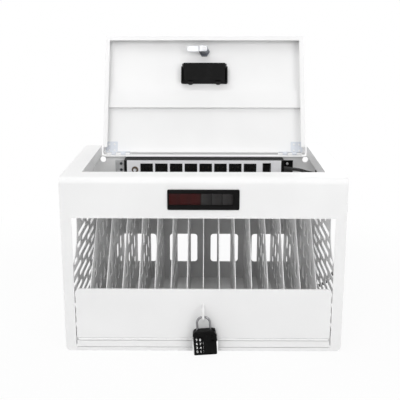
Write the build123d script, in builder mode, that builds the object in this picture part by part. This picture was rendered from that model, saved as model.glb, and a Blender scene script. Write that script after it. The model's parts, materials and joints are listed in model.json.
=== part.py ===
"""Laptop charging cabinet: a bench-top steel cabinet with sixteen upright bays, a drop-down front
flap held by a combination padlock, a top lid with a cam lock, and a two-row power strip inside.

Millimetres. +Z is up, the front faces -Y, and the origin is the centre of the footprint on the base.
The lid is drawn closed and then turned back to the open rest position."""

from build123d import *
import math
import os

os.makedirs("parts", exist_ok=True)

# Overall body
width = 600
depth = 370
height = 388
sheet = 1.5
rear_sheet = 2
front = -depth / 2
rear = depth / 2
face_in = front + sheet
rear_in = rear - rear_sheet
top_in = height - sheet

# Front frame
front_bend = 14
base_corner = 12
post_width = 23
fascia_height = 87
sill_height = 8
frame_return = 16
top_return = 25
mouth_half = width / 2 - post_width
mouth_top = height - fascia_height

# Top opening and lid
opening_half = 260
opening_front = 57
opening_y = front + opening_front
lid_gap = 2
lid_half = opening_half - lid_gap
lid_flange = 25
lid_lip = 11
lid_open = 114
lid_drop = 22
knuckle_r = 3
hinge_y = rear + knuckle_r
hinge_z = height - lid_drop
hinge_length = 60
hinge_inset = 12
hinge_clear = 0.5
pin_r = 1.5
pin_clear = 0.05
wall_top = hinge_z - knuckle_r - 1
lid_axis = Axis((0, hinge_y, hinge_z), (1, 0, 0))
foot_y = front + 31

# Side panels and partitions
panel_inset = 16
panel_half = width / 2 - panel_inset
bays = 16
end_bay = 38.9
bay_pitch = (panel_half - sheet - end_bay) / (bays / 2 - 1)
partition_sheet = 1.5
partition_setback = 8
partition_shoulder = 143
partition_top = 266
edge_slope = 0.887
panel_shoulder = 183
panel_curve = 85
panel_head_depth = 100
floor_top = 34
foot_flange = 12
slot_length = 100
slot_height = 11
slot_low = 44.4
slot_row = 23.3
slot_rows = 10
slot_pitch = 124
slot_margin = 18
slot_limit = 340
slot_start = -15
slot_stagger = 50
hole_size = 33
hole_corner = 6
hole_first = 91
hole_pitch = 66.5
hole_columns = 4
hole_low = 104
hole_rise = 53.5
hole_rows = 3

# Rear windows and hanging holes
window_low = 79
window_high = 154.5
window_corner = 7.5
inner_window = (17.5, 89)
outer_window = (124.7, 229)
hanger_x = 257
hanger_drop = 35
hanger_r = 7.25

# Base pan and front flap
pan_riser = 4
pan_step = 23.6
pan_gap = 1.5
rib_half = 18
foot_width = 15
flap_gap = 2
flap_half = mouth_half - flap_gap
flap_low = 30.4
flap_high = 143
flap_return = 4.5
flap_corner = 5
flap_axis_y = front + sheet / 2
flap_axis_z = 27
flap_knuckle_r = 2.8
flap_knuckle = 32
flap_pin_r = 1
leaf = 0.8
leaf_gap = 0.5
leaf_inset = 4
knuckle_gap = 0.2

# Staple and padlock
wire_r = 2.5
wire_clear = 0.1
staple_low = 81
staple_high = 107
staple_reach = 26
plate_width = 24
lock_width = 50
lock_height = 54
lock_thick = 20
lock_top = 56
lock_tilt = 4
shackle_r = 2.5
shackle_half = 14
shackle_clear = 0.15
dial_r = 12.6
dial_thick = 7.4
dial_pitch = 9.2
dial_x = -11.5
dial_count = 4
dial_gap = 0.35
spindle_r = 4
dial_low = 9
dial_notches = 20
leg_depth = 11
lock_clear = 5
relief_clear = 2
relief_depth = 29.5
relief_top = 25.8
lock_y = front - lock_clear - lock_thick / 2
lock_base = lock_top - lock_height
latch_x = (14, 21.2)
latch_z = lock_base + 31
latch_slot = 15
latch_travel = 4

# Lid fittings
lock_setback = 35
barrel_r = 9.5
barrel_head_r = 12
barrel_end = 28
nut_flats = 24
nut_thick = 6
plug_r = 6.5
cam_reach = 45
cam_width = 15
cam_thick = 2.5
cam_step = 2.8
cup_reach = 220
cup_width = 117
cup_height = 56
cup_depth = 20
cup_wall = 2
cup_rim = 6
channel_near = 125.5
channel_far = 171
channel_depth = 10
channel_sheet = 1.2

# Power strip
strip_half = 199
strip_border = 7
strip_top = height - 29
strip_height = 84
strip_depth = 44.5
strip_wall = 1.5
strip_face_thick = 2
outlet = 30.7
outlet_pitch = 36.8
outlet_first = -143
outlets_per_row = 8
outlet_top = height - 37
outlet_row_gap = 6.1
outlet_clear = 0.3
outlet_depth = 16
switch_x = 156
switch_width = 16
switch_height = 31
rocker_half = 13.5
button_x = -172
button_r = 4
ear_width = 27
screw_head_r = 3.6

# Indicator
bezel_width = 150
bezel_height = 43.5
bezel_drop = 46.5
bezel_proud = 3
window_left = -72
cell_pitch = 22.3
cells = 6
cell_gap = 1
window_height = 25.4
window_rise = 1
housing_depth = 32
housing_half = 73
lens_depth = 5

# Supply cord
cord_r = 4
gland_z = height - 55
gland_y = 158
gland_length = 22
coil_turns = 2.25
coil_outer = 56
coil_step = 8.6
coil_centre = (215, 250)
coil_tail = 36
grommet_z = gland_z - 12
grommet_y = 156
plug_length = 44


def block(x0, x1, y0, y1, z0, z1, mode=Mode.ADD):
    """A box between two corners, in the part that is being built."""
    with Locations(((x0 + x1) / 2, (y0 + y1) / 2, (z0 + z1) / 2)):
        Box(abs(x1 - x0), abs(y1 - y0), abs(z1 - z0), mode=mode)


def rod(centre, direction, radius, length, mode=Mode.ADD):
    """A cylinder that starts at centre and runs along direction."""
    with Locations(Plane(origin=centre, z_dir=direction)):
        Cylinder(radius, length, align=(Align.CENTER, Align.CENTER, Align.MIN), mode=mode)


def save(solid, label):
    """Labels one finished piece and writes it under that name."""
    solid.label = label
    export_step(solid, f"parts/{label}.step")


def open_lid(solid):
    """Turns a piece drawn on the closed lid back to the open rest position."""
    return solid.rotate(lid_axis, -lid_open)


def edge_depth(z):
    """Depth of the slanted front edge of a partition at height z."""
    return partition_setback + max(0, z - partition_shoulder) / edge_slope


def panel_depth(z):
    """Depth of the curved front edge of a side panel at height z."""
    if z < panel_shoulder:
        return sheet
    below = max(0, panel_shoulder + panel_curve - z)
    return panel_head_depth - panel_curve + math.sqrt(panel_curve ** 2 - below ** 2)


def cut_slots(x):
    """Staggered rows of level slots through a side panel that stands at x."""
    with BuildSketch(Plane.YZ.offset(x - 5)) as slots:
        for row in range(slot_rows):
            z = slot_low + slot_row * row
            first = slot_start if row % 2 == 0 else slot_start + slot_stagger - slot_pitch
            for place in range(4):
                start = max(first + slot_pitch * place, panel_depth(z) + slot_margin)
                end = min(first + slot_pitch * place + slot_length, slot_limit)
                if end - start > slot_height * 2:
                    with Locations((front + (start + end) / 2, z)):
                        SlotOverall(end - start, slot_height)
    extrude(slots.sketch, amount=10, mode=Mode.SUBTRACT)


def cut_holes(x):
    """Square holes in level rows through a partition that stands at x."""
    with BuildSketch(Plane.YZ.offset(x - 5)) as holes:
        for row in range(hole_rows):
            z = hole_low + hole_rise * row
            for column in range(hole_columns):
                depth_here = hole_first + hole_pitch * column
                if depth_here - hole_size > edge_depth(z + hole_size / 2):
                    with Locations((front + depth_here, z)):
                        RectangleRounded(hole_size, hole_size, hole_corner)
    extrude(holes.sketch, amount=10, mode=Mode.SUBTRACT)


def cut_relief():
    """The notch behind the padlock that lets it pass under the cabinet when the flap is lowered."""
    tilt = math.sin(math.radians(lock_tilt))
    left = (staple_low - flap_axis_z) * tilt - lock_width / 2 - relief_clear
    right = (staple_low - lock_base) * tilt + lock_width / 2 + relief_clear
    block(left, right, front - 1, front + relief_depth, -1, relief_top, mode=Mode.SUBTRACT)


# Outer frame: the front frame, the top and their returns, folded from one sheet
with BuildPart() as outer_frame:
    with BuildSketch(Plane.YZ.offset(-width / 2)):
        with BuildLine():
            Polyline((front, 0), (front, height - front_bend))
            RadiusArc((front, height - front_bend), (front + front_bend, height), front_bend)
            Polyline((front + front_bend, height), (rear, height), (rear, top_in), (front + front_bend, top_in))
            RadiusArc((front + front_bend, top_in), (face_in, height - front_bend), sheet - front_bend)
            Polyline((face_in, height - front_bend), (face_in, 0), (front, 0))
        make_face()
    extrude(amount=width)
    with BuildSketch(Plane.XZ.offset(-face_in)):
        with Locations((0, (mouth_top + sill_height) / 2)):
            Rectangle(2 * mouth_half, mouth_top - sill_height)
        with Locations((0, height - bezel_drop)):
            Rectangle(2 * housing_half + 1, bezel_height - 7)
    extrude(amount=sheet, mode=Mode.SUBTRACT)
    block(-opening_half, opening_half, opening_y, rear, top_in, height, mode=Mode.SUBTRACT)
    for side in (-1, 1):
        block(side * opening_half, side * (opening_half + sheet), opening_y - sheet, rear_in,
              height - lid_flange, top_in)
        edge = side * width / 2
        inner = side * (width / 2 - sheet)
        block(edge, inner, front + front_bend, rear_in, height - top_return, top_in)
        block(edge, inner, face_in, front + frame_return, base_corner, height - front_bend)
    block(-opening_half - sheet, opening_half + sheet, opening_y - sheet, opening_y,
          height - lid_flange, top_in)
    block(-mouth_half, mouth_half, face_in, front + frame_return, 0, sheet)
    block(-mouth_half, mouth_half, face_in, front + frame_return / 2, mouth_top, mouth_top + sheet)
    cut_relief()
    lower_corners = outer_frame.edges().filter_by(Axis.Y).group_by(Axis.Z)[0]
    fillet(lower_corners.sort_by(Axis.X)[0::len(lower_corners) - 1], base_corner - 1)
save(outer_frame.part, "outer_frame")

# Side panels, cut back at the front in one large curve
for name, side in (("side_panel_left", -1), ("side_panel_right", 1)):
    inner_face = side * (panel_half - sheet)
    with BuildPart() as side_panel:
        with BuildSketch(Plane.YZ.offset(min(inner_face, side * panel_half))):
            head = front + panel_head_depth
            with BuildLine():
                Polyline((head - panel_curve, panel_shoulder), (face_in, panel_shoulder), (face_in, 0),
                         (rear_in, 0), (rear_in, top_in), (head, top_in), (head, panel_shoulder + panel_curve))
                RadiusArc((head, panel_shoulder + panel_curve), (head - panel_curve, panel_shoulder), panel_curve)
            make_face()
        extrude(amount=sheet)
        cut_slots(side * panel_half)
        outer = side * panel_half
        block(outer, outer + side * 12, face_in, face_in + sheet, 14, panel_shoulder - 4)
        block(outer, outer + side * 12, foot_y, rear_in, 0, sheet)
        block(outer, outer + side * 12, head, rear_in, top_in - sheet, top_in)
        if side > 0:
            rod((panel_half - 5, grommet_y, grommet_z), (1, 0, 0), 8.3, 10, mode=Mode.SUBTRACT)
    save(side_panel.part, name)

# Rear panel with four windows, a low centre for the lid hinges and two hanging holes
with BuildPart() as rear_panel:
    with BuildSketch(Plane.XZ.offset(-rear)):
        with Locations((0, top_in / 2)):
            Rectangle(width, top_in)
        with Locations((0, (wall_top + top_in) / 2)):
            Rectangle(2 * opening_half, top_in - wall_top, mode=Mode.SUBTRACT)
        for side in (-1, 1):
            for near, far in (inner_window, outer_window):
                with Locations((side * (near + far) / 2, (window_low + window_high) / 2)):
                    RectangleRounded(far - near, window_high - window_low, window_corner, mode=Mode.SUBTRACT)
            with Locations((side * hanger_x, height - hanger_drop)):
                Circle(hanger_r, mode=Mode.SUBTRACT)
    extrude(amount=rear_sheet)
    block(-opening_half + 4, opening_half - 4, rear_in - 8, rear_in, wall_top - sheet, wall_top)
save(rear_panel.part, "rear_panel")

# Floor pan: a raised floor with a stepped front that takes the flap hinge
pan_half = panel_half - sheet
riser_y = front + pan_riser
with BuildPart() as floor_pan:
    block(-pan_half, pan_half, riser_y, rear_in, floor_top - sheet, floor_top)
    block(-pan_half, pan_half, riser_y, riser_y + sheet, pan_step - sheet, floor_top)
    block(-mouth_half + pan_gap, mouth_half - pan_gap, front, riser_y + sheet, pan_step - sheet, pan_step)
    block(-mouth_half + pan_gap, mouth_half - pan_gap, front, face_in, sill_height + pan_gap, pan_step)
    for side in (-1, 1):
        block(side * pan_half, side * (pan_half - sheet), riser_y, rear_in, sheet, floor_top)
        block(side * pan_half, side * (pan_half - foot_width), foot_y, rear_in, 0, sheet)
        block(side * rib_half, side * (rib_half - sheet), foot_y, rear_in, 0, floor_top)
    block(-rib_half, rib_half, foot_y, rear_in, 0, sheet)
    block(-pan_half, pan_half, rear_in - sheet, rear_in, 0, floor_top)
    cut_relief()
save(floor_pan.part, "floor_pan")

# Partitions, one between each two bays
for count in range(1, bays):
    x = (count - bays / 2) * bay_pitch
    with BuildPart() as partition:
        with BuildSketch(Plane.YZ.offset(x - partition_sheet / 2)):
            nose = front + partition_setback
            crest = front + edge_depth(partition_top)
            with BuildLine():
                Polyline((nose, floor_top), (nose, partition_shoulder), (crest, partition_top),
                         (rear_in, partition_top), (rear_in, floor_top), (nose, floor_top))
            outline = make_face()
            rounded = outline.vertices().sort_by_distance((nose, partition_shoulder, 0))
            fillet(rounded[0], 30)
        extrude(amount=partition_sheet)
        cut_holes(x)
        block(x + partition_sheet / 2, x + foot_flange, nose + 12, rear_in - 10, floor_top, floor_top + 1)
    save(partition.part, f"partition_{count:02d}")

# Front flap and its piano hinge
with BuildPart() as flap_panel:
    block(-flap_half, flap_half, front, face_in, flap_low, flap_high)
    block(-flap_half, flap_half, face_in, front + flap_return, flap_high - sheet, flap_high)
    top_corners = flap_panel.edges().filter_by(Axis.Y).group_by(Axis.Z)[-1]
    chamfer(top_corners, flap_corner)
    for z in (staple_low, staple_high):
        rod((0, front - 1, z), (0, 1, 0), wire_r + wire_clear, 10, mode=Mode.SUBTRACT)
save(flap_panel.part, "flap_panel")

knuckles = int(2 * flap_half // flap_knuckle)
hinge_start = -knuckles * flap_knuckle / 2
door_leaf_y = face_in + leaf
base_leaf_y = door_leaf_y + leaf_gap
for name, first in (("flap_hinge_leaf_door", 0), ("flap_hinge_leaf_base", 1)):
    with BuildPart() as flap_leaf:
        if first == 0:
            block(-flap_half + leaf_inset, flap_half - leaf_inset, face_in, door_leaf_y, flap_low + 0.3, flap_low + 14)
        else:
            block(-flap_half + leaf_inset, flap_half - leaf_inset, base_leaf_y, riser_y, flap_low + 0.3, floor_top - 1)
        for count in range(first, knuckles, 2):
            start = hinge_start + count * flap_knuckle + knuckle_gap
            length = flap_knuckle - 2 * knuckle_gap
            rod((start, flap_axis_y, flap_axis_z), (1, 0, 0), flap_knuckle_r, length)
            if first == 0:
                block(start, start + length, face_in, door_leaf_y, flap_axis_z, flap_low + 1)
            else:
                block(start, start + length, flap_axis_y + 1.2, riser_y, flap_axis_z - 0.6, flap_axis_z + 0.6)
                block(start, start + length, base_leaf_y, riser_y, flap_axis_z - 0.6, flap_low + 1)
        rod((hinge_start - 1, flap_axis_y, flap_axis_z), (1, 0, 0), flap_pin_r + pin_clear,
            2 * flap_half + 2, mode=Mode.SUBTRACT)
    save(flap_leaf.part, name)

# Hinge pins of the flap and the two lid hinges
hinge_x = opening_half - hinge_inset - hinge_length / 2
with BuildPart() as hinge_pins:
    rod((hinge_start, flap_axis_y, flap_axis_z), (1, 0, 0), flap_pin_r, knuckles * flap_knuckle)
    for side in (-1, 1):
        rod((side * hinge_x - hinge_length / 2, hinge_y, hinge_z), (1, 0, 0), pin_r, hinge_length)
save(hinge_pins.part, "hinge_pins")

# Staple: a bent wire loop with its backing plate behind the flap
with BuildPart() as staple:
    tip = front - staple_reach + wire_r
    bend = 8
    with BuildLine(Plane.YZ) as loop:
        FilletPolyline((face_in + 0.5, staple_low), (tip, staple_low), (tip, staple_high),
                       (face_in + 0.5, staple_high), radius=bend)
    with BuildSketch(Plane(origin=(0, face_in + 0.5, staple_low), z_dir=(0, -1, 0))):
        Circle(wire_r)
    sweep(path=loop.line)
    block(-plate_width / 2, plate_width / 2, face_in, face_in + sheet, staple_low - 9, staple_high + 9)
save(staple.part, "staple")

# Padlock, drawn upright and then leaned a little about the staple wire
pivot_z = staple_low
lean_axis = Axis((0, lock_y, pivot_z), (0, 1, 0))
bow_z = staple_low + wire_r + shackle_r + 0.3
bow_top = bow_z - shackle_half


def lean(solid):
    """Leans a padlock piece about the staple wire."""
    return solid.rotate(lean_axis, -lock_tilt)


latch_y = lock_y - lock_thick / 2
with BuildPart() as padlock_body:
    block(-lock_width / 2, lock_width / 2, lock_y - lock_thick / 2, lock_y + lock_thick / 2, lock_base, lock_top)
    fillet(padlock_body.edges().filter_by(Axis.Y).group_by(Axis.Z)[-1], 9)
    fillet(padlock_body.edges().filter_by(Axis.Y).group_by(Axis.Z)[0], 3)
    chamfer(padlock_body.faces().sort_by(Axis.Y)[0].edges(), 0.8)
    for count in range(dial_count):
        z = lock_base + dial_low + count * dial_pitch - dial_thick / 2 - dial_gap
        rod((dial_x, lock_y, z), (0, 0, 1), dial_r + dial_gap, dial_thick + 2 * dial_gap, mode=Mode.SUBTRACT)
    rod((dial_x, lock_y, lock_base + 2), (0, 0, 1), spindle_r, dial_count * dial_pitch + 4)
    for side in (-1, 1):
        rod((side * shackle_half, lock_y, lock_top), (0, 0, -1), shackle_r + shackle_clear, leg_depth + 0.5,
            mode=Mode.SUBTRACT)
    block(*latch_x, latch_y, latch_y + 3, latch_z, latch_z + latch_slot, mode=Mode.SUBTRACT)
save(lean(padlock_body.part), "padlock_body")

with BuildPart() as padlock_shackle:
    with BuildLine(Plane.XZ.offset(-lock_y)) as bow:
        Line((-shackle_half, lock_top - leg_depth), (-shackle_half, bow_top))
        ThreePointArc((-shackle_half, bow_top), (0, bow_z), (shackle_half, bow_top))
        Line((shackle_half, bow_top), (shackle_half, lock_top - leg_depth))
    with BuildSketch(Plane(origin=(-shackle_half, lock_y, lock_top - leg_depth), z_dir=(0, 0, 1))):
        Circle(shackle_r)
    sweep(path=bow.line)
save(lean(padlock_shackle.part), "padlock_shackle")

for count in range(dial_count):
    with BuildPart() as padlock_dial:
        z = lock_base + dial_low + count * dial_pitch - dial_thick / 2
        rod((dial_x, lock_y, z), (0, 0, 1), dial_r, dial_thick)
        with BuildSketch(Plane.XY.offset(z)):
            with Locations((dial_x, lock_y)):
                with PolarLocations(dial_r + dial_gap, dial_notches):
                    Circle(0.9)
        extrude(amount=dial_thick, mode=Mode.SUBTRACT)
        rod((dial_x, lock_y, z), (0, 0, 1), spindle_r + pin_clear, dial_thick, mode=Mode.SUBTRACT)
    save(lean(padlock_dial.part), f"padlock_dial_{dial_count - count}")

with BuildPart() as padlock_latch:
    plate_low = latch_z + latch_travel
    block(latch_x[0] + 0.3, latch_x[1] - 0.3, latch_y + 0.6, latch_y + 2.7, plate_low, latch_z + latch_slot - 0.3)
    grip = (latch_x[0] + 1, latch_x[1] - 1, latch_y - 1.4)
    block(*grip, latch_y + 0.6, plate_low + 3, plate_low + 10)
    for ridge in (4.5, 6.5, 8.5):
        block(*grip, latch_y - 0.9, plate_low + ridge - 0.4, plate_low + ridge + 0.4, mode=Mode.SUBTRACT)
save(lean(padlock_latch.part), "padlock_latch")

# Lid tray, drawn closed
lid_front = opening_y + lid_gap
flange_in = rear - sheet
cup_y = hinge_y - cup_reach
lock_axis_y = lid_front + lock_setback
with BuildPart() as lid_tray:
    block(-lid_half, lid_half, lid_front, rear, top_in, height)
    flange_low = height - lid_flange
    for side in (-1, 1):
        outer = side * lid_half
        block(outer, outer - side * sheet, lid_front, rear, flange_low, top_in)
        block(outer, outer - side * lid_lip, lid_front, rear - 14, flange_low, flange_low + sheet)
    block(-lid_half, lid_half, lid_front, lid_front + sheet, flange_low, top_in)
    block(-lid_half, lid_half, lid_front, lid_front + lid_lip, flange_low, flange_low + sheet)
    block(-lid_half, lid_half, flange_in, rear, flange_low, top_in)
    for side in (-1, 1):
        reach = hinge_length / 2 + 1
        block(side * hinge_x - reach, side * hinge_x + reach, flange_in - 1, rear + 1, flange_low - 1, hinge_z + 5,
              mode=Mode.SUBTRACT)
    rod((0, lock_axis_y, height + 1), (0, 0, -1), barrel_r + wire_clear, 10, mode=Mode.SUBTRACT)
    block(-cup_width / 2, cup_width / 2, cup_y - cup_height / 2, cup_y + cup_height / 2,
          top_in - 1, height + 1, mode=Mode.SUBTRACT)
save(open_lid(lid_tray.part), "lid_tray")

with BuildPart() as lid_stiffener:
    near = hinge_y - channel_near
    far = hinge_y - channel_far
    reach = lid_half - sheet
    low = top_in - channel_depth
    block(-reach, reach, far, near, low, low + channel_sheet)
    for y in (far, near - channel_sheet):
        block(-reach, reach, y, y + channel_sheet, low, top_in)
save(open_lid(lid_stiffener.part), "lid_stiffener")

# Lid hinges: five knuckles each, the lid's own leaf cranked into the tray
knuckle = hinge_length / 5
with BuildPart() as lid_hinge_leaves_body:
    for side in (-1, 1):
        start = side * hinge_x - hinge_length / 2
        block(start, start + hinge_length, rear, rear + sheet, hinge_z - 26, hinge_z - knuckle_r - hinge_clear)
        for count in (0, 2, 4):
            x0 = start + count * knuckle + knuckle_gap
            rod((x0, hinge_y, hinge_z), (1, 0, 0), knuckle_r, knuckle - 2 * knuckle_gap)
            block(x0, x0 + knuckle - 2 * knuckle_gap, rear, rear + sheet, hinge_z - 5, hinge_z)
        rod((start - 1, hinge_y, hinge_z), (1, 0, 0), pin_r + pin_clear, hinge_length + 2, mode=Mode.SUBTRACT)
save(lid_hinge_leaves_body.part, "lid_hinge_leaves_body")

with BuildPart() as lid_hinge_leaves_lid:
    for side in (-1, 1):
        start = side * hinge_x - hinge_length / 2
        for count in (1, 3):
            x0 = start + count * knuckle + knuckle_gap
            rod((x0, hinge_y, hinge_z), (1, 0, 0), knuckle_r, knuckle - 2 * knuckle_gap)
            block(x0, x0 + knuckle - 2 * knuckle_gap, flange_in - sheet, hinge_y - 2, hinge_z, hinge_z + 1.2)
        block(start + 1, start + hinge_length - 1, flange_in - sheet, flange_in, hinge_z, top_in)
        plate = side * (hinge_x + 20)
        block(plate - 15, plate + 15, flange_in - 32, flange_in, top_in - sheet, top_in)
        rod((start - 1, hinge_y, hinge_z), (1, 0, 0), pin_r + pin_clear, hinge_length + 2, mode=Mode.SUBTRACT)
save(open_lid(lid_hinge_leaves_lid.part), "lid_hinge_leaves_lid")

# Flush pull cup, open on the lid's outer face
with BuildPart() as lid_handle_cup:
    with BuildSketch(Plane.XY.offset(height)):
        with Locations((0, cup_y)):
            RectangleRounded(cup_width + 2 * cup_rim, cup_height + 2 * cup_rim, 6)
    extrude(amount=sheet)
    with BuildSketch(Plane.XY.offset(height)):
        with Locations((0, cup_y)):
            RectangleRounded(cup_width - 0.6, cup_height - 0.6, 5)
    extrude(amount=-cup_depth, taper=12)
    with BuildSketch(Plane.XY.offset(height + sheet)):
        with Locations((0, cup_y)):
            RectangleRounded(cup_width - 2 * cup_wall - 1, cup_height - 2 * cup_wall - 1, 4)
    extrude(amount=-(cup_depth + sheet - cup_wall), taper=12, mode=Mode.SUBTRACT)
    block(-cup_width / 2 + 3, cup_width / 2 - 3, cup_y + cup_height / 2 - 16, cup_y + cup_height / 2 - 2.5,
          height, height + sheet)
    for x in (-36, 36):
        block(x - 4, x + 4, cup_y + cup_height / 2 - 8, cup_y + cup_height / 2 + 2.5, top_in - 3.5, top_in)
save(open_lid(lid_handle_cup.part), "lid_handle_cup")

# Cam lock: barrel, nut, turning plug, cam and screw
barrel_low = height - barrel_end
with BuildPart() as lid_lock_barrel:
    rod((0, lock_axis_y, height), (0, 0, 1), barrel_head_r, 3)
    rod((0, lock_axis_y, height), (0, 0, -1), barrel_r, barrel_end)
    rod((0, lock_axis_y, height + 4), (0, 0, -1), plug_r + pin_clear, barrel_end + 5, mode=Mode.SUBTRACT)
save(open_lid(lid_lock_barrel.part), "lid_lock_barrel")

with BuildPart() as lid_lock_nut:
    with BuildSketch(Plane.XY.offset(top_in - nut_thick)):
        with Locations((0, lock_axis_y)):
            RegularPolygon(nut_flats / 2, 6, major_radius=False)
            Circle(barrel_r + wire_clear, mode=Mode.SUBTRACT)
    extrude(amount=nut_thick)
save(open_lid(lid_lock_nut.part), "lid_lock_nut")

cam_top = barrel_low - 0.3
with BuildPart() as lid_lock_plug:
    rod((0, lock_axis_y, height + 2.6), (0, 0, -1), plug_r, barrel_end + 2.9)
    block(-3.5, 3.5, lock_axis_y - 3.5, lock_axis_y + 3.5, cam_top - cam_thick, cam_top)
    block(-3.2, 3.2, lock_axis_y - 0.7, lock_axis_y + 0.7, height - 8, height + 3, mode=Mode.SUBTRACT)
save(open_lid(lid_lock_plug.part), "lid_lock_plug")

with BuildPart() as lid_lock_cam:
    reach = cam_reach
    with BuildSketch(Plane.XZ.offset(-lock_axis_y - cam_width / 2)):
        with BuildLine():
            Polyline((cam_width / 2, cam_top - cam_thick), (cam_width / 2, cam_top), (-13, cam_top),
                     (-17, cam_top + cam_step), (-reach, cam_top + cam_step),
                     (-reach, cam_top + cam_step - cam_thick), (-15.8, cam_top + cam_step - cam_thick),
                     (-12, cam_top - cam_thick), (cam_width / 2, cam_top - cam_thick))
        make_face()
    extrude(amount=cam_width)
    fillet(lid_lock_cam.edges().filter_by(Axis.Z).group_by(Axis.X)[0], 6)
    fillet(lid_lock_cam.edges().filter_by(Axis.Z).group_by(Axis.X)[-1], 6)
    block(-3.55, 3.55, lock_axis_y - 3.55, lock_axis_y + 3.55, cam_top - 5, cam_top + 1, mode=Mode.SUBTRACT)
save(open_lid(lid_lock_cam.part), "lid_lock_cam")

with BuildPart() as lid_lock_screw:
    rod((0, lock_axis_y, cam_top - cam_thick), (0, 0, -1), 5.5, 3)
    block(-6, 6, lock_axis_y - 0.6, lock_axis_y + 0.6, cam_top - cam_thick - 3.5, cam_top - cam_thick - 1.8,
          mode=Mode.SUBTRACT)
save(open_lid(lid_lock_screw.part), "lid_lock_screw")

# Indicator on the fascia
bezel_z = height - bezel_drop
bezel_y = front - bezel_proud
window_right = window_left + cells * cell_pitch
window_base = bezel_z + window_rise - window_height / 2
window_top = window_base + window_height
with BuildPart() as indicator_bezel:
    with BuildSketch(Plane.XZ.offset(-front)):
        with Locations((0, bezel_z)):
            RectangleRounded(bezel_width, bezel_height, 3)
        with Locations(((window_left + window_right) / 2, (window_base + window_top) / 2)):
            Rectangle(window_right - window_left, window_height, mode=Mode.SUBTRACT)
    extrude(amount=bezel_proud)
    chamfer(indicator_bezel.faces().sort_by(Axis.Y)[0].outer_wire().edges(), 1)
save(indicator_bezel.part, "indicator_bezel")

with BuildPart() as indicator_window:
    block(window_left + 0.2, window_right - 0.2, bezel_y + 1, front - 0.2, window_base + 0.2, window_top - 0.2)
save(indicator_window.part, "indicator_window")

for name, first in (("indicator_lenses_red", 0), ("indicator_lenses_clear", cells // 2)):
    with BuildPart() as lenses:
        for count in range(first, first + cells // 2):
            x0 = window_left + count * cell_pitch + cell_gap / 2
            block(x0, x0 + cell_pitch - cell_gap, front, front + lens_depth, window_base + 0.6, window_top - 0.6)
    save(lenses.part, name)

with BuildPart() as indicator_housing:
    block(-housing_half, housing_half, front, front + housing_depth, bezel_z - bezel_height / 2 + 4,
          bezel_z + bezel_height / 2 - 4)
    block(window_left, window_right, front, front + lens_depth, window_base, window_top, mode=Mode.SUBTRACT)
save(indicator_housing.part, "indicator_housing")

# Power strip on the rear panel
strip_front = rear_in - strip_depth
strip_low = strip_top - strip_height
outlet_z = (outlet_top - outlet / 2, outlet_top - 1.5 * outlet - outlet_row_gap)
switch_z = outlet_z[0]
strip_proud = strip_front - strip_face_thick
with BuildPart() as power_strip_housing:
    block(-strip_half, strip_half, strip_front, rear_in, strip_low, strip_top)
    block(-strip_half + strip_wall, strip_half - strip_wall, strip_front - 1, rear_in - strip_wall,
          strip_low + strip_wall, strip_top - strip_wall, mode=Mode.SUBTRACT)
    for side in (-1, 1):
        block(side * strip_half, side * (strip_half - strip_border), strip_proud, strip_front, strip_low, strip_top)
    rod((strip_half - 5, gland_y, gland_z), (1, 0, 0), 5.5, 10, mode=Mode.SUBTRACT)
save(power_strip_housing.part, "power_strip_housing")

with BuildPart() as power_strip_face:
    face_half = strip_half - strip_border - 0.2
    block(-face_half, face_half, strip_proud, strip_front, strip_low, strip_top)
    for row in outlet_z:
        for count in range(outlets_per_row):
            x = outlet_first + count * outlet_pitch
            reach = outlet / 2 + outlet_clear
            block(x - reach, x + reach, strip_front - 5, strip_front + 1, row - reach, row + reach,
                  mode=Mode.SUBTRACT)
    for side in (-1, 1):
        cheek = switch_x + side * switch_width / 2
        block(cheek, cheek + side * 1.5, strip_front, strip_front + 6, switch_z - 8, switch_z + 8)
    block(switch_x - switch_width / 2, switch_x + switch_width / 2, strip_front - 5, strip_front + 8,
          switch_z - switch_height / 2, switch_z + switch_height / 2, mode=Mode.SUBTRACT)
    rod((switch_x - 12, strip_front + 3, switch_z), (1, 0, 0), 1.1, 24, mode=Mode.SUBTRACT)
    rod((button_x, strip_front - 1, switch_z), (0, 1, 0), 7, 8)
    rod((button_x, strip_front - 4.5, switch_z), (0, 1, 0), 6.5, 4)
    rod((button_x, strip_front - 6, switch_z), (0, 1, 0), button_r + 0.08, 30, mode=Mode.SUBTRACT)
save(power_strip_face.part, "power_strip_face")

with BuildPart() as outlets:
    for row in outlet_z:
        for count in range(outlets_per_row):
            x = outlet_first + count * outlet_pitch
            half = outlet / 2
            block(x - half, x + half, strip_proud - 0.5, strip_front + outlet_depth,
                  row - half, row + half)
            block(x - half - 1.4, x + half + 1.4, strip_front, strip_front + 2, row - half - 1.4, row + half + 1.4)
            for pin_x in (-6.3, 6.3):
                block(x + pin_x - 1.2, x + pin_x + 1.2, strip_front - 4, strip_front + 8, row - 1, row + 8,
                      mode=Mode.SUBTRACT)
            rod((x, strip_front - 4, row - 6.5), (0, 1, 0), 2.7, 12, mode=Mode.SUBTRACT)
save(outlets.part, "outlets")

with BuildPart() as rocker_switch:
    half = switch_width / 2 - 0.5
    with BuildSketch(Plane.YZ.offset(switch_x - half)):
        with BuildLine():
            Polyline((strip_front + 6, switch_z - 8), (strip_front - 1.5, switch_z - rocker_half),
                     (strip_front - 3, switch_z), (strip_front - 5.5, switch_z + rocker_half),
                     (strip_front + 6, switch_z + 8), (strip_front + 6, switch_z - 8))
        make_face()
    extrude(amount=2 * half)
    rod((switch_x - half - 1.6, strip_front + 3, switch_z), (1, 0, 0), 1.05, 2 * half + 3.2)
save(rocker_switch.part, "rocker_switch")

with BuildPart() as breaker_button:
    rod((button_x, strip_front - 9, switch_z), (0, 1, 0), button_r, 15)
save(breaker_button.part, "breaker_button")

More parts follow.
